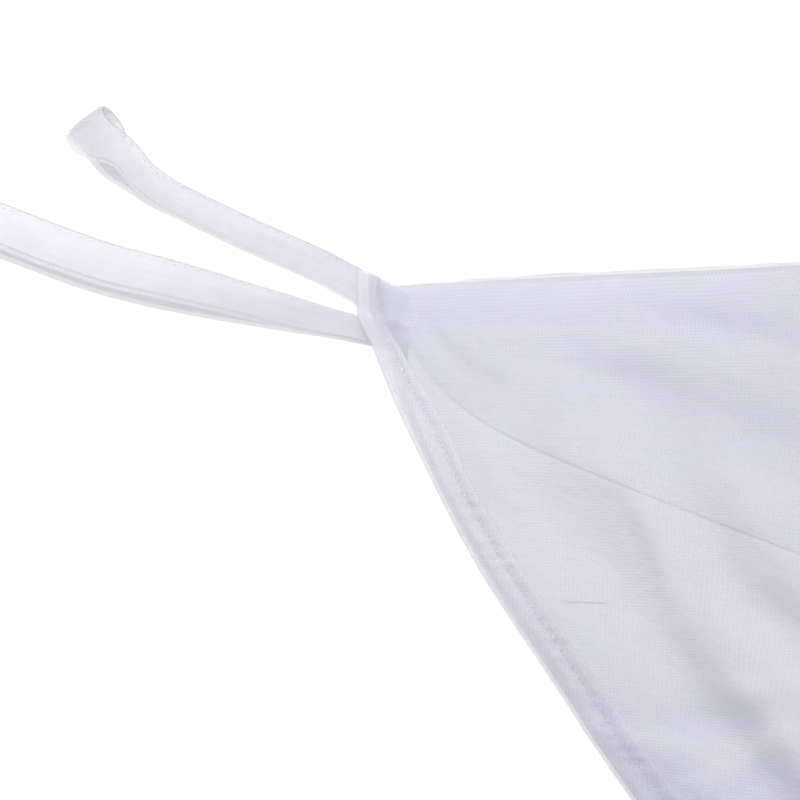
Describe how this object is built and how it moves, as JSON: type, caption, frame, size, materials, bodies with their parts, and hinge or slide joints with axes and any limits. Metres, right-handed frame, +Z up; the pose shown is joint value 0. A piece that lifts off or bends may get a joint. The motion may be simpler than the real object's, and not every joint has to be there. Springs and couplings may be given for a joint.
{
  "type": "mosquito net canopy",
  "caption": "White net bed canopy hung by loops at its top corners, with the curtains beside the front left corner drawn away and tied, the rest hanging shut.",
  "frame": {"origin": "centre of the four top corners, at the height the corners hang from", "axes": "+Z up, +X to the right along the front edge, -Y towards the front; the open corner is front left"},
  "size_m": [2.1978, 2.4166, 2.655],
  "materials": {
    "net": "sheer knitted polyester net, matt white with a faint lavender tint",
    "doubled_net": "the same net folded into straps several layers thick, less see-through"
  },
  "bodies": {
    "root": {"roof_panel": "net", "curtain_front": "net", "curtain_left": "net", "curtain_back": "net", "curtain_right": "net", "tie_front": "doubled_net", "tie_left": "doubled_net", "loop_upper_front_left": "doubled_net", "loop_lower_front_left": "doubled_net", "loop_upper_front_right": "doubled_net", "loop_lower_front_right": "doubled_net", "loop_upper_back_left": "doubled_net", "loop_lower_back_left": "doubled_net", "loop_upper_back_right": "doubled_net", "loop_lower_back_right": "doubled_net"}
  },
  "joints": []
}
